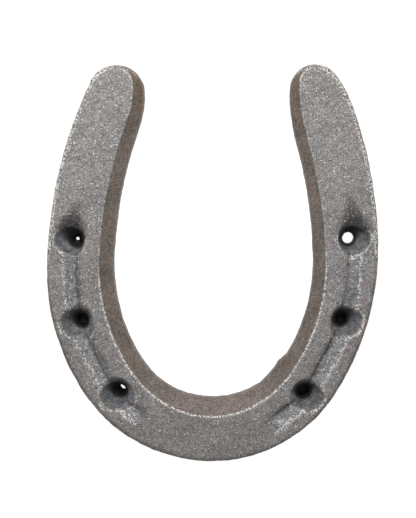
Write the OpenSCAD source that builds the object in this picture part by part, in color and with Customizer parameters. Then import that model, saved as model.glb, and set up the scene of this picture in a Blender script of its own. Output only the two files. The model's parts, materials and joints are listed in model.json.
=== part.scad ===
// Horseshoe: one bar of metal bent to a U, with a concave inner edge, a crease and
// six countersunk nail holes in its ground face.
// It lies on its hoof face at z = 0, ground face up, with the heels towards +Y.
// Both edges are chains of tangent arcs that start at the toe and run to a heel.

/* [Bar] */
// Thickness of the bar
thickness = 10; // [9:0.5:12]
// Lean of the walls from upright, in degrees
draft = 3; // [1:0.5:4]
// Chamfer along the edges of both faces
chamfer = 0.8; // [0.4:0.1:1]

/* [Outer edge] */
// Angle of both toe arcs
toe_angle = 57; // [56:0.5:58]
// Angle of both quarter arcs
quarter_angle = 35; // [34:0.5:36]
// Toe radius of the right branch
outer_toe_right = 52; // [51:0.5:54]
// Quarter radius of the right branch
outer_quarter_right = 93.5; // [92:0.5:95]
// Radius of the right branch
outer_branch_right = 157; // [150:1:165]
// Angle of the right branch
outer_turn_right = 17; // [16:0.5:18]
// Radius that eases the right branch into its heel
outer_ease_right = 48.5; // [47:0.5:60]
// Toe radius of the left branch
outer_toe_left = 54.2; // [53:0.2:55]
// Quarter radius of the left branch
outer_quarter_left = 77.7; // [76:0.1:79]
// Radius of the left branch
outer_branch_left = 165; // [158:1:172]
// Angle of the left branch
outer_turn_left = 20; // [18:0.5:21]
// Radius that eases the left branch into its heel
outer_ease_left = 120; // [100:5:160]

/* [Inner edge] */
// Width of the bar at the toe
toe_web = 22.5; // [21.5:0.5:23]
// Toe radius of the right branch
inner_toe_right = 30.3; // [30:0.1:31]
// Quarter radius of the right branch
inner_quarter_right = 63.4; // [62:0.1:65]
// Radius of the right branch
inner_branch_right = 170; // [160:1:180]
// Angle of the right branch
inner_turn_right = 13.2; // [12.6:0.1:13.6]
// Radius that eases the right branch into its heel
inner_ease_right = 72; // [68:1:76]
// Toe radius of the left branch
inner_toe_left = 29; // [28.5:0.1:29.5]
// Quarter radius of the left branch
inner_quarter_left = 61.6; // [60:0.1:63]
// Radius of the left branch
inner_branch_left = 150.5; // [145:0.5:155]
// Angle of the left branch
inner_turn_left = 17.7; // [17.3:0.1:18]
// Radius that eases the left branch into its heel
inner_ease_left = 37.5; // [35:0.5:40]

/* [Concave slope] */
// Fall of the slope from the ground face to the inner edge, in degrees
concave_fall = 48; // [42:1:50]
// Width of the slope at the toe
concave_toe = 6.2; // [5.5:0.1:6.8]
// Width of the slope where each arc of the right inner edge ends, toe to heel
concave_right = [4.8, 4.6, 4.5, 3.8]; // [3.5:0.1:5.5]
// Width of the slope where each arc of the left inner edge ends, toe to heel
concave_left = [5, 5, 4.8, 4]; // [3.5:0.1:5.5]
// Width of the slope where it ends, over the end of the heel
concave_heel = 1.3; // [1:0.1:2]

/* [Nail holes] */
// Distance of the nail line from the outer edge
nail_inset = 10.5; // [10:0.1:11]
// Shift of the right branch's holes outwards from the nail line, toe to heel
nail_shift_right = [0.8, 0.9, -0.1]; // [-0.5:0.1:1]
// Shift of the left branch's holes outwards from the nail line, toe to heel
nail_shift_left = [-0.3, 0.2, 0.5]; // [-0.5:0.1:1]
// First nail hole, along the nail line from the toe
first_nail = 36.5; // [34:0.5:39]
// Spacing of the nail holes
nail_spacing = 28.5; // [27:0.1:30]
// Diameter of each nail hole
nail_d = 4.1; // [3.5:0.1:4.5]
// Lean of the holes towards the middle of the shoe, toe to heel, in degrees
nail_pitch = [14, 9, 2]; // [0:1:16]
// Lean of the countersinks, in degrees
sink_lean = 16; // [12:1:18]
// Half angle of the countersinks, in degrees
sink_half_angle = 32; // [30:1:34]
// Depth at which each countersink meets its hole
sink_depth = 4.6; // [4:0.1:5]
// Width of the ledge between each countersink and its hole
sink_ledge = 0.2; // [0.15:0.05:0.4]

/* [Crease] */
// Start of the right branch's crease, along the nail line from the toe
crease_start_right = 20; // [18:0.5:26]
// Start of the left branch's crease, along the nail line from the toe
crease_start_left = 25; // [18:0.5:26]
// Depth of the crease
crease_depth = 1.7; // [1:0.1:2.2]
// Width of the crease's outer slope
crease_slope = 5.6; // [4.5:0.1:6]
// Width of the crease's inner step
crease_step = 0.6; // [0.4:0.1:1]

/* [Hidden] */
$fn = 64;
right = 1;
left = -1;
iron = [0.56, 0.54, 0.52];
nail_count = 3;
// Countersink: radius at its foot, and length, which runs on past the ground face
sink_foot = nail_d / 2 + sink_ledge;
sink_reach = sink_depth + 2;
// Length over which the crease rises to the ground face at each end, and the least
// part of its width that it keeps there
crease_rise = 6;
crease_least = 0.25;
// Ground face width below which the crease's lines close up towards the outer edge
narrow_face = 12;
// Steps along each piece of an edge: toe, quarter, branch, ease and heel
steps = [28, 24, 16, 5, 10];
// Half the angle left between the two edges at the very end of a heel
heel_gap = 3;

// A path is [start, radii, angles], and a pose is [x, y, heading], with heading 0
// along +X. A negative radius bends the path away from the middle of the shoe.

// Pose after an arc
function turned(pose, radius, angle) =
    let (start = pose[2], end = start + sign(radius) * angle)
    [
        pose[0] + radius * (sin(end) - sin(start)),
        pose[1] - radius * (cos(end) - cos(start)),
        end
    ];

// Pose at the start of piece n
function pose_at(path, n) = n == 0
    ? path[0]
    : turned(pose_at(path, n - 1), path[1][n - 1], path[2][n - 1]);

// Pose partway along piece n
function pose_in(path, n, part) = turned(pose_at(path, n), path[1][n], part * path[2][n]);

// Point at a distance to the right of a pose
function beside(pose, distance) =
    [pose[0] + distance * sin(pose[2]), pose[1] - distance * cos(pose[2])];

function piece_length(path, n) = abs(path[1][n]) * path[2][n] * PI / 180;
function length_before(path, n) = n == 0
    ? 0
    : length_before(path, n - 1) + piece_length(path, n - 1);

// Pose at a distance along a path
function pose_along(path, distance, n = 0) =
    let (piece = piece_length(path, n))
    distance <= piece || n == len(path[1]) - 1
        ? pose_in(path, n, distance / piece)
        : pose_along(path, distance - piece, n + 1);

// The inner edge runs on until it points straight along +Y, where the heel begins
function inner_edge(side) = side == right
    ? inner_path([inner_toe_right, inner_quarter_right, inner_branch_right,
        -inner_ease_right], inner_turn_right)
    : inner_path([inner_toe_left, inner_quarter_left, inner_branch_left,
        -inner_ease_left], inner_turn_left);
function inner_path(radii, turn) = [[0, toe_web, 0], radii,
    [toe_angle, quarter_angle, turn, toe_angle + quarter_angle + turn - 90]];

function outer_radii(side) = side == right
    ? [outer_toe_right, outer_quarter_right, outer_branch_right, outer_ease_right]
    : [outer_toe_left, outer_quarter_left, outer_branch_left, outer_ease_left];
function outer_angles(side) =
    [toe_angle, quarter_angle, side == right ? outer_turn_right : outer_turn_left];

// The heel is the arc that touches the end of the inner edge and the outer edge's
// ease arc. Returns its radius and the direction in which it touches the latter.
function heel_arc(side) =
    let (
        radii = outer_radii(side),
        ease = radii[3],
        hub = beside(pose_at([[0, 0, 0], radii, outer_angles(side)], 3), -ease),
        gap = pose_at(inner_edge(side), 4) - [hub[0], hub[1], 0],
        radius = (ease ^ 2 - gap[0] ^ 2 - gap[1] ^ 2) / (2 * (gap[0] + ease))
    )
    [radius, atan2(gap[1], gap[0] + radius)];

// Both edges, each with the same five pieces, up to the gap at the end of the heel
function inner_to_heel(side) =
    let (edge = inner_edge(side), heel = heel_arc(side))
    [edge[0], [each edge[1], -heel[0]], [each edge[2], (180 - heel[1]) / 2 - heel_gap]];
function outer_to_heel(side) =
    let (
        angles = outer_angles(side),
        heel = heel_arc(side),
        ease_angle = heel[1] + 90 - angles[0] - angles[1] - angles[2]
    )
    [
        [0, 0, 0],
        [each outer_radii(side), heel[0]],
        [each angles, ease_angle, (180 - heel[1]) / 2 - heel_gap]
    ];

// The nail line keeps its distance from the outer edge
function nail_line(side) = [[0, nail_inset, 0],
    [for (radius = outer_radii(side)) radius - nail_inset], outer_to_heel(side)[2]];

function eased(part) = (1 - cos(180 * max(0, min(1, part)))) / 2;
function mix(a, b, part) = a + (b - a) * part;

// Width of the concave slope partway along piece n
function concave_width(side, n, part) =
    let (widths = [concave_toe, each side == right ? concave_right : concave_left, concave_heel])
    mix(widths[n], widths[n + 1], eased(part));

// How deep the crease is partway along piece n, from 0 to 1
function crease_part(side, n, part) = n > 2 ? 0 :
    let (
        line = nail_line(side),
        at = length_before(line, n) + part * piece_length(line, n),
        start = side == right ? crease_start_right : crease_start_left,
        finish = first_nail + (nail_count - 1) * nail_spacing
    )
    min(eased((at - start) / crease_rise), eased((finish - at) / crease_rise + 0.5));

// Width of the bevel round the outer edge, seen from above
outer_bevel = chamfer + (thickness - 2 * chamfer) * tan(draft);

// Height at which a leaning wall meets a slope that falls from the ground face, where
// the two together are as wide as given
function wall_top(width) =
    (thickness - (width + chamfer * tan(draft)) * tan(concave_fall))
    / (1 - tan(draft) * tan(concave_fall));

// One edge of the section, from the hoof face up: the two ends of the lower chamfer,
// the top of the wall, and the edge of the ground face. inwards is the side on which
// the metal lies, 1 for the right of the path.
function edge_points(pose, inwards, width) =
    let (top = wall_top(width), step_in = (top - chamfer) * tan(draft))
    [
        [each beside(pose, inwards * chamfer), 0],
        [each beside(pose, 0), chamfer],
        [each beside(pose, inwards * step_in), top],
        [each beside(pose, inwards * width), thickness]
    ];

// The crease's three lines across the ground face, from the outer edge inwards
function crease_points(outer, inner, depth_part) =
    let (
        face = max(narrow_face, norm(inner - outer)),
        middle = nail_inset - outer_bevel,
        spread = max(crease_least, sqrt(depth_part)),
        low = [0, 0, -crease_depth * depth_part]
    )
    [
        mix(outer, inner, (middle - crease_slope * spread) / face),
        mix(outer, inner, middle / face) + low,
        mix(outer, inner, (middle + crease_step * spread) / face)
    ];

// The bar's section at a station: up the outer edge, across the ground face and down
// the inner edge
function section(side, n, part) =
    let (
        heel_part = n == 4 ? part : 0,
        outer = edge_points(pose_in(outer_to_heel(side), n, part), -1,
            mix(outer_bevel, concave_heel, heel_part)),
        inner = edge_points(pose_in(inner_to_heel(side), n, part), 1,
            concave_width(side, n, part)),
        points = [
            each outer,
            each crease_points(outer[3], inner[3], crease_part(side, n, part)),
            for (k = [3 : -1 : 0]) inner[k]
        ]
    )
    [for (p = points) [side * p[0], p[1], p[2]]];

function branch_sections(side) = [
    for (n = [0 : len(steps) - 1], k = [1 : steps[n]]) section(side, n, k / steps[n])
];

// Faces that close the gap at the end of a heel, from the edge points of one side to
// those of the other
function end_faces(size) = [
    for (k = [0 : 1]) each [
        [k, k + 1, size - 2 - k],
        [k, size - 2 - k, size - 1 - k]
    ],
    [2, size - 4, size - 3],
    for (k = [3 : size - 5]) [2, k, k + 1]
];

// The bar, from the right heel round the toe to the left heel
module bar() {
    right_side = branch_sections(right);
    sections = [
        for (k = [len(right_side) - 1 : -1 : 0]) right_side[k],
        section(right, 0, 0),
        each branch_sections(left)
    ];
    size = len(sections[0]);
    last = len(sections) - 1;
    polyhedron(
        points = [for (s = sections) each s],
        faces = [
            for (j = [0 : last - 1], k = [0 : size - 1])
                let (a = j * size + k, b = j * size + (k + 1) % size)
                each [[a, b + size, b], [a, a + size, b + size]],
            for (loop = end_faces(size)) loop,
            for (loop = end_faces(size)) [for (k = [len(loop) - 1 : -1 : 0])
                last * size + loop[k]]
        ],
        convexity = 6
    );
}

// A nail hole: a straight hole, and the countersink above it, both leaning outwards
module nail_hole(side, n) {
    shift = side == right ? nail_shift_right : nail_shift_left;
    pose = pose_along(nail_line(side), first_nail + n * nail_spacing);
    place = beside(pose, shift[n]);
    translate([side * place[0], place[1], thickness - sink_depth])
        rotate(side * pose[2]) {
            rotate([nail_pitch[n], 0, 0])
                cylinder(d = nail_d, h = 2 * thickness, center = true);
            rotate([sink_lean, 0, 0])
                cylinder(
                    r1 = sink_foot,
                    r2 = sink_foot + sink_reach * tan(sink_half_angle),
                    h = sink_reach
                );
        }
}

// How far each side reaches from the toe: across the shoe and along it
function reach(side) =
    let (radii = outer_radii(side))
    radii[0] * sin(toe_angle) + radii[1] * (1 - sin(toe_angle));
function branch_length(side) = pose_at(inner_edge(side), 4)[1] + heel_arc(side)[0];

// Origin: the middle of the hoof face's bounding box
middle = [
    (reach(right) - reach(left)) / 2,
    max(branch_length(right), branch_length(left)) / 2,
    0
];

module horseshoe() {
    color(iron)
        translate(-middle)
            difference() {
                bar();
                for (side = [right, left], n = [0 : nail_count - 1])
                    nail_hole(side, n);
            }
}

horseshoe();
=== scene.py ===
"""A cast iron horseshoe on a plain pale floor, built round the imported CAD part.

Lengths in this script are in millimetres, in the part's own frame: the shoe lies on its hoof face
at z = 0, with its ground face up and its heels towards +Y. MM turns them into Blender's metres.
Where a constant holds two numbers for ramp(), a change starts at the first and ends at the second.
"""

import json
import math

import bmesh
import bpy
import numpy as np
from mathutils import Matrix, Vector


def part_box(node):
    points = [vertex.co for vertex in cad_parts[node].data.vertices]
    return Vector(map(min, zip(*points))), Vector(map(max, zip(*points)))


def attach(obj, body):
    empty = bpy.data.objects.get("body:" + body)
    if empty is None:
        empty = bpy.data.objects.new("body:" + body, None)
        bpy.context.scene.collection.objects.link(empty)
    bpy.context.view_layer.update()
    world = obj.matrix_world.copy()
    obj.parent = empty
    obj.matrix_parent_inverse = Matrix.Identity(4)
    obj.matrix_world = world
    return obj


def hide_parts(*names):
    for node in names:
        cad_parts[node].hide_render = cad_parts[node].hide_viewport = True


MM = 0.001
NODE = "horseshoe"

# Random seeds: the casting grain takes SEED and the numbers after it, and the flash takes SEED
# plus the length of the hole's name
SEED = 20
WAVER_SEED = SEED + 40
BORDER_SEED = SEED + 41
SMEAR_SEED = SEED + 42

# Visual mesh: size of its cells, and passes that round its edges
VOXEL = 0.485
ROUNDING_PASSES = 3

# Casting grain: size of the lumps, and their height. Near the hoof face only a part of it is
# left, and it is cut off a little above the ground face.
WAVES = [(14.0, 0.12), (5.0, 0.09), (2.2, 0.07), (1.1, 0.10)]
GRAIN_AT_HOOF_FACE = 0.25
GRAIN_RISE = (0.3, 1.5)
GRAIN_ABOVE_TOP = 0.2

# Flash left in the nail holes: per hole, the opening's shift towards the middle of the shoe,
# its shift towards the heels, and its radius. A hole that isn't named is clean.
# The flash also serves as dark plugs: the painted shade and dirt cover it, and it hides the
# glowing floor below the holes, so that it stands in for the shade inside them
FLASH_AND_SHADE_PLUGS = {
    "nail_hole_left_1": (0.35, 0.0, 1.25),
    "nail_hole_left_2": (1.45, 0.0, 0.85),
    "nail_hole_left_3": (-0.2, 0.1, 0.76),
    "nail_hole_right_1": (1.45, 0.0, 0.85),
    "nail_hole_right_2": (1.45, 0.0, 0.8),
}

# Each ring of flash: its heights, outer radius and number of sides, and the raggedness of the
# opening as a part of its radius
FLASH_LOW = 0.5
FLASH_HIGH = 1.7
FLASH_RADIUS = 2.6
FLASH_SIDES = 36
FLASH_RAGGED = 0.12

# Bowls that widen the countersinks: depth of the countersink's foot, depth of the bowl there,
# and per hole its reach towards the middle of the shoe, away from it, to the toe and to the heel
SINK_DEPTH = 4.6
BOWL_DEPTH = 3.0
BOWLS = {
    "nail_hole_left_1": (4.6, 7.2, 7.0, 5.9),
    "nail_hole_left_2": (4.3, 7.2, 7.1, 5.9),
    "nail_hole_left_3": (3.6, 7.5, 5.7, 5.7),
    "nail_hole_right_1": (4.2, 7.2, 6.5, 5.7),
    "nail_hole_right_2": (3.8, 7.2, 6.5, 5.5),
    "nail_hole_right_3": (3.6, 7.9, 6.1, 6.0),
}

# Rims of the bowls, as parts of their reach: the last holes have crisp ones. The rest are soft.
CRISP_RIM = (0.9, 1.04)
SOFT_RIM = (0.78, 1.07)
CRISP_REACH = 1.5

# Painted shade, with some dirt, in the bowls: a dark colour round each hole that stands in for the
# shade deep in it and on the heelward wall of its bowl, which faces away from the key light. Where
# it starts to fade and where it ends, how much further it ends on the side that the direction
# below points to (heelward, where the bowl's wall faces away from the key light), and how that
# side blends into the other
SHADE_AND_DIRT_REACH = (2.4, 3.4)
SHADE_SPREAD = 3.2
SHADE_WAY = (-0.2, 0.98)
SHADE_SIDE = (-0.4, 0.8)

# The painted shade and dirt lie only in the bowls and the smears, and they cover the walls of the
# holes and the flash in them, so that the holes read as in shade: how far it blends in with the
# bowls and the smears, the part of a bowl's reach that a hole's walls are within, and the tilt
# past which a face looks down and is left out
SHADE_AND_DIRT_IN_BOWL = (0.0, 0.6)
SHADE_AND_DIRT_IN_SMEAR = (0.1, 0.6)
HOLE_REACH = 0.7
HOLE_TILT = 1.5

# Smears heelward of the last nail holes: length, depth, and the shift away from the middle
# of the shoe at the bowl and at the tip
SMEARS = {
    "nail_hole_left_3": (14.0, 1.3, 2.8, 0.1),
    "nail_hole_right_3": (15.5, 1.5, 3.2, 0.9),
}

# Both smears: how much larger the half width is at the bowl than at the tip, the half width at
# the tip, how the sides fade as parts of it, where the smear begins, its strength and how that
# falls off, and the size and height of its raggedness
SMEAR_HALF_WIDTH = 8.4
SMEAR_TIP = 0.2
SMEAR_SIDE = (0.2, 1.15)
SMEAR_START = (0, 3)
SMEAR_STRENGTH = 1.5
SMEAR_FALL = 0.85
SMEAR_RAGGED = (2.2, 0.8)

# Crease: reach past the first nail hole towards the toe, on the left and the right branch,
# radius of the nail line there, and width
CREASE_REACH = {-1: 12.0, 1: 17.0}
CREASE_RADIUS = 44.0
CREASE_WIDTH = 5.4

# Waver of the crease: length, height, and how far from the nail line it is felt
WAVER_LENGTH = 6.0
WAVER_HEIGHT = 0.5
WAVER_REACH = 4.5

# The crease fades between the last two holes of the right branch: how much of it is filled,
# from where along the nail line, between which distances from it, outside which part of the
# bowls, and above which depth
FADE_AMOUNT = 0.6
FADE_PLACE = (2.15, 2.4)
FADE_INNER = (-3, -2)
FADE_OUTER = (6.5, 7.5)
FADE_BOWL = (1.0, 1.2)
FADE_DEPTH = 2.5

# Lowest height that a press may reach, as a part of the thickness
PRESS_FLOOR = 0.45

# The middle of the shoe is a line to the heels from this place, which is given as a part of the
# shoe's length. The toe lies round the line's end.
MIDDLE_TOE_END = -0.14

# Lump on the inner wall: place as parts of the shoe's width and length, height, length towards
# the toe and towards the heel, how it falls off, how far the wall faces the middle, the depth
# where it begins, and how far away it ends
LUMP_PLACE = (0.205, -0.248)
LUMP_HEIGHT = 1.1
LUMP_TOEWARD = 10.0
LUMP_HEELWARD = 3.5
LUMP_FALL = 0.8
LUMP_FACING = (0.3, 0.6)
LUMP_DEPTH = (2.5, 5.0)
LUMP_LIMIT = (10, 14)

# Borders of the coloured areas: size and height of their raggedness
BORDER_RAGGED = (3.0, 0.5)

# Concave slope: how far it tilts, how far it faces the middle, and where it leaves the crease
SLOPE_TILT = (0.12, 0.24)
SLOPE_FACING = (0.1, 0.3)
SLOPE_FROM_CREASE = 1.5

# Walls: how far they tilt, and the distance from the nail line or the depth where they start
WALL_TILT = (0.08, 0.4)
WALL_OUT = 7
WALL_DEPTH = 2.4

# Worn edges, with painted glints: bright specks that stand in for the sparkle of worn iron. Passes
# that find the edges and that widen them, how far they bulge, how sharp the line is, how far they
# face the middle or away from it, and least wear, added wear, and where that starts and ends. The
# inner edge has the added wear towards the toe, and the outer edge towards the heels.
EDGE_PASSES = (4, 2)
EDGE_BULGE = (0.015, 0.06)
EDGE_LINE = (0.3, 0.8)
EDGE_FACING = (-0.05, 0.12)
INNER_EDGE = (0.45, 0.65, -15, 15)
OUTER_EDGE = (0.1, 0.6, -10, 10)

# Wear, with its painted glints, elsewhere: on the toeward rims of the bowls, along the outer side
# of the crease, on the patch, and in the crease as far as the second hole
RIM_WEAR_AND_GLINTS = 0.44
MARGIN_WEAR_AND_GLINTS = 0.56
PATCH_WEAR_AND_GLINTS = 0.34
CREASE_WEAR_AND_GLINTS = 0.24

# Lines of wear and painted glints: the rim's place and width as parts of the bowl's reach, the
# distances to the toe between which it appears, how much a distance outwards counts as one of
# them, the reach within which it is looked for, the margin's place inside the crease's outer side
# and its width, and how many times stronger it is before the first hole
RIM_LINE = (1.02, 0.07)
RIM_TOEWARD = (-3.0, 4.0)
RIM_OUTWARD = 0.5
RIM_REACH = 1.4
MARGIN_LINE = (0.3, 0.75)
MARGIN_AT_TOE = 2.2

# Bright patch where the crease ends: distance from its end, shift away from the middle of the
# shoe, radius, and how much of the crease's colour it has
PATCH_BACK = 3.0
PATCH_OUT = 1.6
PATCH_RADIUS = (1.5, 4.5)
PATCH_COLOUR = 0.7

# Painted shadow: a dark line along the crease's steep inner side, where the step casts its shade.
# Place across, width before the first hole and past it, and how much of it fades, from where,
# between the last two holes of the right branch
STEP_SHADOW_OUT = -0.1
STEP_SHADOW_WIDTH_AT_TOE = 1.3
STEP_SHADOW_WIDTH = 0.95
STEP_SHADOW_FADE = 0.85
STEP_SHADOW_FADE_PLACE = (2.05, 2.35)

# How softly the crease's colour ends at its sides, how far inside its outer side that starts,
# and how often the marks of the walls and of the painted shadow along the step are smoothed
CREASE_SOFTNESS = 0.6
CREASE_INSET = 0.4
WALL_SMOOTHING = 5
STEP_SHADOW_SMOOTHING = 3

# Noise of the iron: size of its lumps, detail, and roughness
NOISES = {
    "grain": (0.5, 2.0, 0.7),
    # noise that places the painted glints
    "glint": (0.62, 0.0, 0.5),
    "coarse": (1.7, 2.0, 0.5),
    "hue": (2.6, 2.0, 0.6),
    "blotch": (9.0, 3.0, 0.55),
}

# Values of noise between which two colours are mixed, and between which nearly all of it lies
SOFT_MIX = (0.35, 0.65)
SHARP_MIX = (0.4, 0.6)
NOISE_RANGE = (0.3, 0.7)

# sRGB colours of the iron. A pair is mixed by noise.
PALETTE = {
    "cool face": ((135, 135, 132), (149, 149, 146)),
    "warm face": ((143, 135, 134), (157, 149, 148)),
    "slope": ((103, 94, 85), (127, 115, 107)),
    "slope at heels": (112, 93, 74),
    "slope at toe": (135, 124, 118),
    "wall": ((76, 65, 59), (98, 88, 82)),
    "wall at heels": (118, 108, 96),
    "crease": ((114, 116, 121), (137, 139, 144)),
    # painted shadow along the crease's step
    "step": (78, 77, 76),
    "bowl": ((96, 98, 100), (128, 128, 132)),
    # dark colour of the smears, partly painted shade of their pressed trail and of the bowl wall
    # beside it
    "smear": (52, 50, 49),
    # painted shade, with some dirt, in the holes and bowls
    "shade_and_dirt": (42, 39, 37),
    # painted glints
    "glint": (230, 227, 222),
}

# Places along the shoe between which the slope takes its colours for the heels and for the toe,
# how much of them it takes, and places between which the walls take theirs for the heels
SLOPE_AT_HEELS = (45, 62)
SLOPE_AT_TOE = (-34, -52)
SLOPE_TINT = 0.6
WALL_AT_HEELS = (-30, 15)

# Strength of the crease's colour, of the painted shadow along the step, and of the smear's dark
# colour, which is partly painted shade
CREASE_TINT = 0.6
STEP_SHADOW_TINT = 0.55
SMEAR_SHADE_TINT = 0.95

# Grain in the colour: how far the fine and the coarse grain change it, and how much of the fine
# grain is left in the bowls
FINE_GRAIN = (-0.65, 0.65)
COARSE_GRAIN = (0.83, 1.17)
GRAIN_IN_BOWLS = 0.85

# Painted glints, bright specks that stand in for sparkle on the iron: noise at which they appear
# on the face and on worn edges, wear at which an edge gets them, how dull an area is for them to
# become few, the part of them that is left there, how dull the bowls and the smears are beside the
# slope and the walls, and the painted shade and dirt that hide them
FACE_GLINTS = (0.7, 0.78)
WORN_EDGE_GLINTS = (0.44, 0.58)
WEAR_AND_GLINTS_RANGE = (0.15, 0.6)
DULL_RANGE = (0.0, 0.6)
GLINTS_WHERE_DULL = 0.12
BOWL_DULL = 0.5
SMEAR_DULL = 0.4
HIDING_SHADE_AND_DIRT = (0.0, 0.5)

# Surface of the iron: metal, roughness from low to high grain, and bump strength and height
METALLIC = 0.25
ROUGHNESS = (0.72, 0.5)
BUMP_STRENGTH = 0.6
BUMP_HEIGHT = 0.12

# Camera: distance, degrees that it stands off the vertical towards +X and towards the heels,
# upright view angle in degrees, and the point across and along the shoe that it looks at
CAMERA_DISTANCE = 700.0
CAMERA_TILT = (2.0, 4.0)
CAMERA_VIEW_ANGLE = 14.82
CAMERA_AIM = (-1.48, 1.65)

# Light: place, size and power of the key light, and strength of the surroundings
KEY_PLACE = (-20, 210, 270)
KEY_SIZE = 200
KEY_WATTS = 0.87
WORLD_STRENGTH = 0.3

# Floor: size in metres, grey, roughness, and its own glow
FLOOR_SIZE = 6
FLOOR_GREY = 0.3
FLOOR_ROUGHNESS = 0.9
FLOOR_GLOW = 0.95

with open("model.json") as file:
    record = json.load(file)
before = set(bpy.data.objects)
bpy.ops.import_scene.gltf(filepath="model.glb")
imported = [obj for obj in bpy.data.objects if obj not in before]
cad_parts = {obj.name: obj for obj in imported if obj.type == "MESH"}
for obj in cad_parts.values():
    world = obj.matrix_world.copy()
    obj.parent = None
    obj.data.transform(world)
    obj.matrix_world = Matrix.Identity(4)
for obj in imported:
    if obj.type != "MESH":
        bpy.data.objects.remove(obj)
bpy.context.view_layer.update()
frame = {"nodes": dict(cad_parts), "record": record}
node_low, node_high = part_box(NODE)
TOP = node_high.z / MM
WIDTH = (node_high.x - node_low.x) / MM
LENGTH = (node_high.y - node_low.y) / MM
HOLES = [m for m in frame["record"]["mounts"] if m["kind"] == "bore"]


# ---------------------------------------------------------------- geometry helpers

def lattice_noise(points, size, seed):
    """Smooth noise from -1 to 1 at each point, with lumps of the given size."""
    draws = np.random.RandomState(seed)
    low = points.min(0) - size
    cells = np.ceil((points.max(0) - low) / size).astype(int) + 2
    lattice = draws.uniform(-1, 1, cells)
    where = (points - low) / size
    cell = np.floor(where).astype(int)
    part = where - cell
    part = part * part * (3 - 2 * part)
    total = np.zeros(len(points))
    for dx in (0, 1):
        for dy in (0, 1):
            for dz in (0, 1):
                weight = (
                    (part[:, 0] if dx else 1 - part[:, 0])
                    * (part[:, 1] if dy else 1 - part[:, 1])
                    * (part[:, 2] if dz else 1 - part[:, 2])
                )
                total += weight * lattice[cell[:, 0] + dx, cell[:, 1] + dy, cell[:, 2] + dz]
    return total


def ramp(value, low, high):
    """0 at low, 1 at high, and smooth in between."""
    part = np.clip((value - low) / (high - low), 0, 1)
    return part * part * (3 - 2 * part)


def line(distance, half_width):
    """1 on a line, and less away from it."""
    return np.exp(-(distance / half_width) ** 2)


def upper_half(points):
    return points[:, 2] > TOP * 0.5


def hole_point(hole, height):
    """Point of a nail hole's axis at a height."""
    place = np.array(hole["pos_m"]) / MM
    axis = np.array(hole["axis"])
    return place + axis * (height - place[2]) / axis[2]


def outward_of(hole):
    """Unit vector across the bar at a nail hole, away from the middle of the shoe."""
    lean = np.array(hole["axis"])[:2]
    return lean / np.linalg.norm(lean)


def heelward_of(hole):
    """Unit vector along the bar at a nail hole, towards the heel."""
    out = outward_of(hole)
    along = np.array([-out[1], out[0]])
    return along if along[1] > 0 else -along


def flash_and_shade_plug(hole, inward, heelward, radius):
    """Closed ring that narrows a nail hole to an off-centre opening."""
    middle = hole_point(hole, FLASH_LOW)[:2]
    shift = -outward_of(hole) * inward + heelward_of(hole) * heelward
    draws = np.random.RandomState(SEED + len(hole["name"]))
    ragged = draws.uniform(-FLASH_RAGGED, FLASH_RAGGED, FLASH_SIDES)
    verts = []
    for height in (FLASH_LOW, FLASH_HIGH):
        for k in range(FLASH_SIDES):
            turn = 2 * math.pi * k / FLASH_SIDES
            way = np.array([math.cos(turn), math.sin(turn)])
            verts.append((*(middle + way * FLASH_RADIUS), height))
            verts.append((*(middle + shift + way * radius * (1 + ragged[k])), height))
    faces = []
    for k in range(FLASH_SIDES):
        a, b = 2 * k, 2 * ((k + 1) % FLASH_SIDES)
        c, d = a + 2 * FLASH_SIDES, b + 2 * FLASH_SIDES
        faces += [(a, a + 1, b + 1, b), (c, d, d + 1, c + 1)]
        faces += [(a, b, d, c), (a + 1, c + 1, d + 1, b + 1)]
    return verts, faces


def cast_mesh():
    """The CAD bar with flash in its holes, as one fine even mesh. The flash also plugs the holes,
    standing in for the shade inside them.
    """
    mesh = frame["nodes"][NODE].data.copy()
    mesh.name = "cast_horseshoe"
    shell = bmesh.new()
    shell.from_mesh(mesh)
    bmesh.ops.remove_doubles(shell, verts=shell.verts, dist=0.001 * MM)
    for hole in HOLES:
        if hole["name"] in FLASH_AND_SHADE_PLUGS:
            verts, faces = flash_and_shade_plug(hole, *FLASH_AND_SHADE_PLUGS[hole["name"]])
            corners = [shell.verts.new(Vector(v) * MM) for v in verts]
            for face in faces:
                shell.faces.new([corners[k] for k in face])
    bmesh.ops.recalc_face_normals(shell, faces=shell.faces)
    shell.to_mesh(mesh)
    shell.free()
    rough = bpy.data.objects.new("rough_bar", mesh)
    bpy.context.scene.collection.objects.link(rough)
    remesh = rough.modifiers.new("even", "REMESH")
    remesh.mode = "VOXEL"
    remesh.voxel_size = VOXEL * MM
    bpy.context.view_layer.update()
    evaluated = rough.evaluated_get(bpy.context.evaluated_depsgraph_get())
    fine = bpy.data.meshes.new_from_object(evaluated)
    bpy.data.objects.remove(rough)
    return fine


def mesh_points(mesh):
    flat = np.empty(len(mesh.vertices) * 3)
    mesh.vertices.foreach_get("co", flat)
    return flat.reshape(-1, 3) / MM


def set_points(mesh, points):
    mesh.vertices.foreach_set("co", (points * MM).ravel())
    mesh.update()


def mesh_normals(mesh):
    flat = np.empty(len(mesh.vertices) * 3)
    mesh.vertex_normals.foreach_get("vector", flat)
    return flat.reshape(-1, 3)


class Neighbours:
    """Averages a value over each point's neighbours."""

    def __init__(self, mesh):
        pairs = np.empty(len(mesh.edges) * 2, int)
        mesh.edges.foreach_get("vertices", pairs)
        pairs = pairs.reshape(-1, 2)
        self.start = np.concatenate([pairs[:, 0], pairs[:, 1]])
        self.end = np.concatenate([pairs[:, 1], pairs[:, 0]])
        self.count = np.bincount(self.start, minlength=len(mesh.vertices)).clip(1)

    def mean(self, values):
        columns = values.reshape(len(values), -1)
        sums = []
        for column in columns.T:
            sums.append(np.bincount(self.start, column[self.end], len(values)))
        return (np.stack(sums, 1) / self.count[:, None]).reshape(values.shape)

    def smoothed(self, values, passes):
        for _ in range(passes):
            values = (values + self.mean(values)) / 2
        return values


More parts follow.
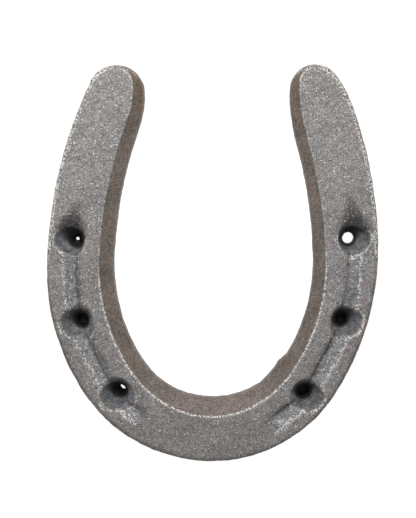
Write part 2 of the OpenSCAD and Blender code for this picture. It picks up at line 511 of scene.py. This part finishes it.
def add_mark(mesh, name, values):
    """Stores a value from 0 to 1 at each point, for the material to read."""
    mark = mesh.attributes.new(name, "FLOAT", "POINT")
    mark.data.foreach_set("value", np.clip(values, 0, 1).astype(np.float32))


# ---------------------------------------------------------------- nail holes and crease

class Nail:
    """Where a nail hole's countersink and bowl lie on the ground face."""

    def __init__(self, hole):
        self.name = hole["name"]
        self.out = outward_of(hole)
        self.heel = heelward_of(hole)
        self.foot = hole_point(hole, TOP - SINK_DEPTH)[:2]
        self.side = 1 if self.foot[0] > 0 else -1
        self.is_first = self.name.endswith("_1")
        self.is_smeared = self.name in SMEARS

    def offsets(self, points):
        """Distances from the countersink's foot: away from the middle, and towards the heels."""
        away = points[:, :2] - self.foot
        return away @ self.out, away @ self.heel

    def reach(self, points):
        """0 at the countersink's foot, and 1 at the rim of the bowl."""
        across, along = self.offsets(points)
        inward, outward, toeward, heelward = BOWLS[self.name]
        across = across / np.where(across > 0, outward, inward)
        along = along / np.where(along > 0, heelward, toeward)
        return np.hypot(across, along)

    def shade_and_dirt(self, points):
        """Strength from 0 to 1 of the painted shade, with some dirt, round the hole: it reaches
        further on the heelward side, whose wall faces away from the key light.
        """
        distance = np.hypot(*self.offsets(points))
        way = ((points[:, :2] - self.foot) @ SHADE_WAY) / distance.clip(0.1)
        side = ramp(way, *SHADE_SIDE)
        return 1 - ramp(distance, SHADE_AND_DIRT_REACH[0], SHADE_AND_DIRT_REACH[1] + SHADE_SPREAD * side)

    def smear(self, points):
        """Strength from 0 to 1 of the smear that trails from the bowl."""
        length, _, shift, tip_shift = SMEARS[self.name]
        size, height = SMEAR_RAGGED
        across, along = self.offsets(points)
        across = across + height * lattice_noise(points, size, SMEAR_SEED)
        part = (along / length).clip(0, 1)
        middle = shift + (tip_shift - shift) * part
        width = SMEAR_HALF_WIDTH * (1 - part) + SMEAR_TIP
        side = 1 - ramp(np.abs(across - middle) / width, *SMEAR_SIDE)
        strength = (SMEAR_STRENGTH * (1 - part) ** SMEAR_FALL).clip(0, 1)
        return side * strength * ramp(along, *SMEAR_START)

    def patch(self, points):
        """Strength from 0 to 1 of the bright patch at the crease's end past this nail hole."""
        across, along = self.offsets(points)
        end = CREASE_REACH[self.side] - PATCH_BACK
        return 1 - ramp(np.hypot(across - PATCH_OUT, along + end), *PATCH_RADIUS)


NAILS = [Nail(hole) for hole in HOLES]


def nearest_reach(points, nails):
    return np.min([nail.reach(points) for nail in nails], axis=0)


def along_crease(points):
    """Distance of each point from its branch's nail line, away from the middle of the shoe,
    and its place along that line: 0 at the toe end, and 1, 2 and 3 at the nail holes. A point
    past an end of the line or beside a corner of it gets a distance that is out of reach."""
    out_of_reach = 99.0
    out = np.full(len(points), out_of_reach)
    place = np.zeros(len(points))
    for side, reach in CREASE_REACH.items():
        nails = sorted((n for n in NAILS if n.side == side), key=lambda n: n.foot[1])
        first = nails[0]
        bend = reach ** 2 / (2 * CREASE_RADIUS)
        toe_end = first.foot - first.heel * reach - first.out * bend
        corners = [toe_end] + [n.foot for n in nails]
        nearest = np.full(len(points), np.inf)
        for number in range(3):
            start = corners[number]
            way = corners[number + 1] - start
            part = (((points[:, :2] - start) @ way) / (way @ way)).clip(0, 1)
            gap = points[:, :2] - start - part[:, None] * way
            distance = np.hypot(*gap.T)
            closer = (distance < nearest) & (points[:, 0] * side > 0)
            outward = np.array([way[1], -way[0]]) * side / np.linalg.norm(way)
            beside = (part > 0) & (part < 1)
            nearest = np.where(closer, distance, nearest)
            out = np.where(closer, np.where(beside, gap @ outward, out_of_reach), out)
            place = np.where(closer, number + part, place)
    return out, place


# ---------------------------------------------------------------- shape

def waver_crease(points, out):
    """Moves the crease a little towards and away from the middle of the shoe."""
    near_line = line(out, WAVER_REACH) * upper_half(points)
    waver = WAVER_HEIGHT * lattice_noise(points, WAVER_LENGTH, WAVER_SEED) * near_line
    points[:, 0] += np.sign(points[:, 0]) * waver


def fade_crease(points, out, place):
    """Fills part of the crease between the last two holes of the right branch."""
    depth = TOP - points[:, 2]
    amount = FADE_AMOUNT * (points[:, 0] > 0) * ramp(place, *FADE_PLACE)
    amount = amount * ramp(out, *FADE_INNER) * (1 - ramp(out, *FADE_OUTER))
    amount *= ramp(nearest_reach(points, NAILS), *FADE_BOWL)
    amount *= (depth < FADE_DEPTH) * upper_half(points)
    points[:, 2] += depth.clip(0) * amount


def press_bowls(points, upper):
    """Widens the countersinks into bowls, and presses in the smears."""
    press = np.zeros(len(points))
    for nail in NAILS:
        press = np.maximum(press, (1 - nail.reach(points)) * BOWL_DEPTH)
        if nail.is_smeared:
            press = np.maximum(press, SMEARS[nail.name][1] * nail.smear(points))
    pressed = np.maximum(TOP - press.clip(0), TOP * PRESS_FLOOR)
    lowered = np.minimum(points[:, 2], pressed)
    points[:, 2] = np.where(upper, lowered, points[:, 2])


def shape_ground_face(points):
    """Gives the ground face the wear and the unevenness that the CAD bar leaves out."""
    out, place = along_crease(points)
    upper = upper_half(points)
    waver_crease(points, out)
    fade_crease(points, out, place)
    press_bowls(points, upper)


def towards_middle(points):
    """Unit vectors from each point towards the middle of the shoe."""
    along = np.maximum(points[:, 1], MIDDLE_TOE_END * LENGTH)
    way = np.stack([np.zeros(len(points)), along], 1) - points[:, :2]
    return way / np.linalg.norm(way, axis=1)[:, None].clip(1e-6)


def add_lump(points, normals):
    """Pushes part of the inner wall out towards the middle of the shoe."""
    way = towards_middle(points)
    inner = ramp((normals[:, :2] * way).sum(1), *LUMP_FACING)
    inner = inner * ramp(TOP - points[:, 2], *LUMP_DEPTH)
    away = points[:, :2] - np.array(LUMP_PLACE) * (WIDTH, LENGTH)
    along = away[:, 1] * -way[:, 0] + away[:, 0] * way[:, 1]
    far = np.where(along < 0, np.abs(along) / LUMP_TOEWARD, along / LUMP_HEELWARD)
    near_by = 1 - ramp(np.hypot(*away.T), *LUMP_LIMIT)
    height = LUMP_HEIGHT * (1 - far).clip(0) ** LUMP_FALL * inner * near_by
    points[:, :2] += way * height[:, None]


def cast_relief(points):
    """Height of the casting grain at each point."""
    relief = np.zeros(len(points))
    for number, (size, height) in enumerate(WAVES):
        relief += height * lattice_noise(points, size, SEED + number)
    rise = ramp(points[:, 2], *GRAIN_RISE)
    return relief * (GRAIN_AT_HOOF_FACE + (1 - GRAIN_AT_HOOF_FACE) * rise)


# ---------------------------------------------------------------- marks for the material

def mark_shoe(mesh, near, points, normals):
    """Stores what the material needs to know about each point."""
    out, place = along_crease(points)
    border_size, border_height = BORDER_RAGGED
    out = out + border_height * lattice_noise(points, border_size, BORDER_SEED)
    tilt = 1 - normals[:, 2]
    depth = TOP - points[:, 2]
    upper = upper_half(points)
    on_right = points[:, 0] > 0
    faces_middle = (normals[:, :2] * towards_middle(points)).sum(1)

    # Bowls, with their smears and the painted shade and dirt in and round the holes
    reach = nearest_reach(points, NAILS)
    smeared_nails = [nail for nail in NAILS if nail.is_smeared]
    crisp = nearest_reach(points, smeared_nails) < CRISP_REACH
    rim_start = np.where(crisp, CRISP_RIM[0], SOFT_RIM[0])
    rim_end = np.where(crisp, CRISP_RIM[1], SOFT_RIM[1])
    bowl = (1 - ramp(reach, rim_start, rim_end)) * upper
    beside_bowl = 1 - bowl
    smear = np.max([nail.smear(points) for nail in smeared_nails], axis=0) * upper
    shade_and_dirt = np.max([nail.shade_and_dirt(points) for nail in NAILS], axis=0)
    shade_and_dirt *= np.maximum(ramp(bowl, *SHADE_AND_DIRT_IN_BOWL), ramp(smear, *SHADE_AND_DIRT_IN_SMEAR))
    in_hole = (depth > SINK_DEPTH) * (tilt < HOLE_TILT) * (reach < HOLE_REACH)
    shade_and_dirt = np.maximum(shade_and_dirt, in_hole)
    patch = np.max([nail.patch(points) for nail in NAILS if nail.is_first], axis=0)

    # Slope, walls and crease
    slope = ramp(tilt, *SLOPE_TILT) * ramp(faces_middle, *SLOPE_FACING)
    slope = slope * beside_bowl * (np.abs(out) > SLOPE_FROM_CREASE)
    wall = ramp(tilt, *WALL_TILT) * beside_bowl * (1 - slope)
    wall = wall * ((out > WALL_OUT) | (depth > WALL_DEPTH))
    wall = near.smoothed(wall, WALL_SMOOTHING)
    channel = ramp(out, -CREASE_SOFTNESS, CREASE_SOFTNESS)
    channel *= 1 - ramp(out, CREASE_WIDTH - CREASE_INSET, CREASE_WIDTH + CREASE_SOFTNESS)
    channel = channel * upper * beside_bowl
    # Painted shadow: a dark line along the crease's steep step
    step_width = np.where(place < 1, STEP_SHADOW_WIDTH_AT_TOE, STEP_SHADOW_WIDTH)
    step = line(out - STEP_SHADOW_OUT, step_width) * upper * beside_bowl
    step *= np.where(on_right, 1 - STEP_SHADOW_FADE * ramp(place, *STEP_SHADOW_FADE_PLACE), 1)
    step = near.smoothed(step, STEP_SHADOW_SMOOTHING)

    # Wear along the edges, the rims of the bowls and the outer side of the crease, which gets
    # painted glints
    find_passes, widen_passes = EDGE_PASSES
    bulge = ((points - near.smoothed(points, find_passes)) * normals).sum(1)
    edge = near.smoothed(ramp(bulge, *EDGE_BULGE), widen_passes)
    edge = ramp(edge, *EDGE_LINE) * beside_bowl * upper
    least, more, start, end = INNER_EDGE
    inner_edge = edge * ramp(faces_middle, *EDGE_FACING)
    inner_edge = inner_edge * (least + more * ramp(-points[:, 1], start, end))
    least, more, start, end = OUTER_EDGE
    outer_edge = edge * ramp(-faces_middle, *EDGE_FACING)
    outer_edge = outer_edge * (least + more * ramp(points[:, 1], start, end))
    toeward = np.zeros(len(points))
    for nail in NAILS:
        across, along = nail.offsets(points)
        facing = ramp(across * RIM_OUTWARD - along, *RIM_TOEWARD)
        toeward = np.where(nail.reach(points) < RIM_REACH, facing, toeward)
    rim_place, rim_width = RIM_LINE
    rim = line(reach - rim_place, rim_width) * toeward * upper
    margin_inset, margin_width = MARGIN_LINE
    margin = line(out - CREASE_WIDTH + margin_inset, margin_width) * upper * beside_bowl
    margin = margin * np.where(place < 1, MARGIN_AT_TOE, 1)
    shine = patch * upper * beside_bowl
    wear_and_glints = [inner_edge, outer_edge, RIM_WEAR_AND_GLINTS * rim, MARGIN_WEAR_AND_GLINTS * margin, PATCH_WEAR_AND_GLINTS * shine]
    wear_and_glints.append(CREASE_WEAR_AND_GLINTS * channel * (place < 2))

    add_mark(mesh, "slope", slope)
    add_mark(mesh, "wall", wall)
    add_mark(mesh, "bowl", bowl)
    add_mark(mesh, "shade_and_dirt", shade_and_dirt)
    add_mark(mesh, "smear", smear)
    add_mark(mesh, "channel", np.maximum(channel, PATCH_COLOUR * patch * beside_bowl))
    add_mark(mesh, "step", step)
    add_mark(mesh, "wear_and_glints", np.maximum.reduce(wear_and_glints))


def build_shoe():
    mesh = cast_mesh()
    near = Neighbours(mesh)
    points = near.smoothed(mesh_points(mesh), ROUNDING_PASSES)
    shape_ground_face(points)
    points = near.smoothed(points, 1)
    set_points(mesh, points)
    normals = mesh_normals(mesh)
    mark_shoe(mesh, near, points, near.smoothed(normals, 2))
    add_lump(points, normals)
    points = points + normals * cast_relief(points)[:, None]
    points[:, 2] = points[:, 2].clip(0, TOP + GRAIN_ABOVE_TOP)
    set_points(mesh, points)
    mesh.shade_smooth()

    shoe = bpy.data.objects.new("cast_horseshoe", mesh)
    bpy.context.scene.collection.objects.link(shoe)
    return shoe


# ---------------------------------------------------------------- materials

class Nodes:
    """Short ways to build a material's nodes."""

    def __init__(self, name):
        self.material = bpy.data.materials.new(name)
        self.material.use_nodes = True
        self.tree = self.material.node_tree
        self.shader = self.tree.nodes["Principled BSDF"]

    def node(self, kind, **settings):
        made = self.tree.nodes.new(kind)
        for key, value in settings.items():
            setattr(made, key, value)
        return made

    def put(self, socket, value):
        if isinstance(value, bpy.types.NodeSocket):
            self.tree.links.new(value, socket)
        else:
            socket.default_value = value

    def place(self):
        return self.node("ShaderNodeTexCoord").outputs["Object"]

    def between(self, limits, to_high=1.0):
        """0 at the first place along the shoe, and to_high at the second."""
        made = self.node("ShaderNodeSeparateXYZ")
        self.put(made.inputs[0], self.place())
        start, end = limits
        return self.spread(made.outputs["Y"], start * MM, end * MM, 0.0, to_high)

    def mark(self, name):
        return self.node("ShaderNodeAttribute", attribute_name=name).outputs["Fac"]

    def noise(self, size, detail=2.0, roughness=0.5):
        """Noise with lumps of about the given size in millimetres."""
        made = self.node("ShaderNodeTexNoise")
        self.put(made.inputs["Vector"], self.place())
        self.put(made.inputs["Scale"], 1 / (size * MM))
        self.put(made.inputs["Detail"], detail)
        self.put(made.inputs["Roughness"], roughness)
        return made.outputs["Fac"]

    def spread(self, value, low, high, to_low=0.0, to_high=1.0):
        """A value mapped from one range to another, and kept inside it."""
        made = self.node("ShaderNodeMapRange", clamp=True)
        self.put(made.inputs["Value"], value)
        numbers = {"From Min": low, "From Max": high, "To Min": to_low, "To Max": to_high}
        for key, number in numbers.items():
            self.put(made.inputs[key], number)
        return made.outputs["Result"]

    def maths(self, operation, first, second):
        made = self.node("ShaderNodeMath", operation=operation)
        self.put(made.inputs[0], first)
        self.put(made.inputs[1], second)
        return made.outputs[0]

    def times(self, first, second):
        return self.maths("MULTIPLY", first, second)

    def larger(self, first, second):
        return self.maths("MAXIMUM", first, second)

    def mixed(self, amount, first, second, blend="MIX"):
        made = self.node("ShaderNodeMix", data_type="RGBA", blend_type=blend)
        self.put(made.inputs["Factor"], amount)
        self.put(made.inputs[6], first)
        self.put(made.inputs[7], second)
        return made.outputs[2]

    def pair(self, name, noise, limits):
        """The two colours of a name in the palette, mixed by noise."""
        first, second = PALETTE[name]
        return self.mixed(self.spread(noise, *limits), colour(first), colour(second))


def colour(rgb):
    """Linear colour from sRGB values of 0 to 255."""
    def linear(value):
        part = value / 255
        return part / 12.92 if part <= 0.04045 else ((part + 0.055) / 1.055) ** 2.4
    return (*(linear(value) for value in rgb), 1)


def cast_iron():
    nodes = Nodes("cast_iron")
    grain = nodes.noise(*NOISES["grain"])
    glint = nodes.noise(*NOISES["glint"])
    coarse = nodes.noise(*NOISES["coarse"])
    hue = nodes.noise(*NOISES["hue"])
    blotch = nodes.noise(*NOISES["blotch"])
    slope = nodes.mark("slope")
    wall = nodes.mark("wall")
    bowl = nodes.mark("bowl")
    smear = nodes.mark("smear")
    shade_and_dirt = nodes.mark("shade_and_dirt")

    # Colour of each area
    cool = nodes.pair("cool face", blotch, SOFT_MIX)
    warm = nodes.pair("warm face", blotch, SOFT_MIX)
    face = nodes.mixed(nodes.spread(hue, *SOFT_MIX), cool, warm)
    crease = nodes.pair("crease", coarse, SHARP_MIX)
    bowl_colour = nodes.pair("bowl", hue, SOFT_MIX)
    slope_colour = nodes.pair("slope", blotch, SOFT_MIX)
    heels = nodes.between(SLOPE_AT_HEELS, SLOPE_TINT)
    slope_colour = nodes.mixed(heels, slope_colour, colour(PALETTE["slope at heels"]))
    toe = nodes.between(SLOPE_AT_TOE, SLOPE_TINT)
    slope_colour = nodes.mixed(toe, slope_colour, colour(PALETTE["slope at toe"]))
    wall_colour = nodes.pair("wall", blotch, SHARP_MIX)
    branches = nodes.between(WALL_AT_HEELS)
    wall_colour = nodes.mixed(branches, wall_colour, colour(PALETTE["wall at heels"]))

    # Areas laid over each other, from the face up to the painted shade and dirt in the holes
    base = nodes.mixed(nodes.times(nodes.mark("channel"), CREASE_TINT), face, crease)
    # Painted shadow along the crease's steep step
    step = nodes.times(nodes.mark("step"), STEP_SHADOW_TINT)
    base = nodes.mixed(step, base, colour(PALETTE["step"]))
    base = nodes.mixed(slope, base, slope_colour)
    base = nodes.mixed(wall, base, wall_colour)
    base = nodes.mixed(bowl, base, bowl_colour)
    # The smear's dark colour is partly painted shade of its pressed trail and of the bowl's
    # heelward wall
    base = nodes.mixed(nodes.times(smear, SMEAR_SHADE_TINT), base, colour(PALETTE["smear"]))
    # Painted shade, with some dirt, darkens the holes and the heelward walls of the bowls
    base = nodes.mixed(shade_and_dirt, base, colour(PALETTE["shade_and_dirt"]))

    # Grain, which is a little weaker in the bowls
    contrast = nodes.spread(bowl, 0.0, 1.0, 1.0, GRAIN_IN_BOWLS)
    fine = nodes.times(nodes.spread(grain, *NOISE_RANGE, *FINE_GRAIN), contrast)
    grained = nodes.maths("ADD", fine, nodes.spread(coarse, *NOISE_RANGE, *COARSE_GRAIN))
    tint = nodes.node("ShaderNodeCombineColor")
    for socket in tint.inputs[:3]:
        nodes.put(socket, grained)
    base = nodes.mixed(1.0, base, tint.outputs[0], "MULTIPLY")

    # Painted glints, bright specks that stand in for sparkle: a few on the face, fewer on the dull
    # areas, and many along worn edges
    dull = nodes.larger(nodes.larger(slope, wall), nodes.times(bowl, BOWL_DULL))
    dull = nodes.larger(dull, nodes.times(smear, SMEAR_DULL))
    share = nodes.spread(dull, *DULL_RANGE, 1.0, GLINTS_WHERE_DULL)
    glints = nodes.times(nodes.spread(glint, *FACE_GLINTS), share)
    worn_glints = nodes.spread(nodes.mark("wear_and_glints"), *WEAR_AND_GLINTS_RANGE)
    glints = nodes.larger(glints, nodes.times(worn_glints, nodes.spread(glint, *WORN_EDGE_GLINTS)))
    glints = nodes.times(glints, nodes.spread(shade_and_dirt, *HIDING_SHADE_AND_DIRT, 1.0, 0.0))
    base = nodes.mixed(glints, base, colour(PALETTE["glint"]))
    nodes.put(nodes.shader.inputs["Base Color"], base)
    roughness = nodes.spread(grain, *NOISE_RANGE, *ROUGHNESS)
    nodes.put(nodes.shader.inputs["Roughness"], roughness)
    nodes.shader.inputs["Metallic"].default_value = METALLIC

    bump = nodes.node("ShaderNodeBump")
    bump.inputs["Strength"].default_value = BUMP_STRENGTH
    bump.inputs["Distance"].default_value = BUMP_HEIGHT * MM
    nodes.put(bump.inputs["Height"], grain)
    nodes.put(nodes.shader.inputs["Normal"], bump.outputs["Normal"])
    return nodes.material


def floor_material():
    nodes = Nodes("pale_floor")
    nodes.shader.inputs["Base Color"].default_value = (FLOOR_GREY, FLOOR_GREY, FLOOR_GREY, 1)
    nodes.shader.inputs["Roughness"].default_value = FLOOR_ROUGHNESS
    nodes.shader.inputs["Specular IOR Level"].default_value = 0.0
    nodes.shader.inputs["Emission Color"].default_value = (1, 1, 1, 1)
    nodes.shader.inputs["Emission Strength"].default_value = FLOOR_GLOW
    return nodes.material


# ---------------------------------------------------------------- stage

def add_floor():
    bpy.ops.mesh.primitive_plane_add(size=FLOOR_SIZE)
    floor = bpy.context.object
    floor.name = "floor"
    floor.data.materials.append(floor_material())


def add_key_light():
    data = bpy.data.lights.new("key", "AREA")
    data.size = KEY_SIZE * MM
    data.energy = KEY_WATTS
    light = bpy.data.objects.new("key", data)
    light.location = Vector(KEY_PLACE) * MM
    light.rotation_euler = (-light.location).to_track_quat("-Z", "Y").to_euler()
    bpy.context.scene.collection.objects.link(light)


def add_camera():
    data = bpy.data.cameras.new("camera")
    data.sensor_fit = "VERTICAL"
    data.angle_y = math.radians(CAMERA_VIEW_ANGLE)
    camera = bpy.data.objects.new("camera", data)
    aim = Vector((*CAMERA_AIM, TOP / 2))
    slopes = [math.tan(math.radians(tilt)) for tilt in CAMERA_TILT]
    way = Vector((*slopes, 1)).normalized()
    up = (Vector((0, 1, 0)) - way * way.y).normalized()
    turn = Matrix((up.cross(way), up, way)).transposed().to_4x4()
    camera.matrix_world = Matrix.Translation((aim + way * CAMERA_DISTANCE) * MM) @ turn
    bpy.context.scene.collection.objects.link(camera)
    bpy.context.scene.camera = camera


def add_world():
    world = bpy.data.worlds.new("studio")
    world.use_nodes = True
    background = world.node_tree.nodes["Background"]
    background.inputs["Color"].default_value = (1, 1, 1, 1)
    background.inputs["Strength"].default_value = WORLD_STRENGTH
    bpy.context.scene.world = world


def main():
    shoe = build_shoe()
    shoe.data.materials.clear()
    shoe.data.materials.append(cast_iron())
    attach(shoe, "root")
    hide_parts(NODE)
    add_floor()
    add_key_light()
    add_world()
    add_camera()
    bpy.context.scene.view_settings.view_transform = "Standard"


main()
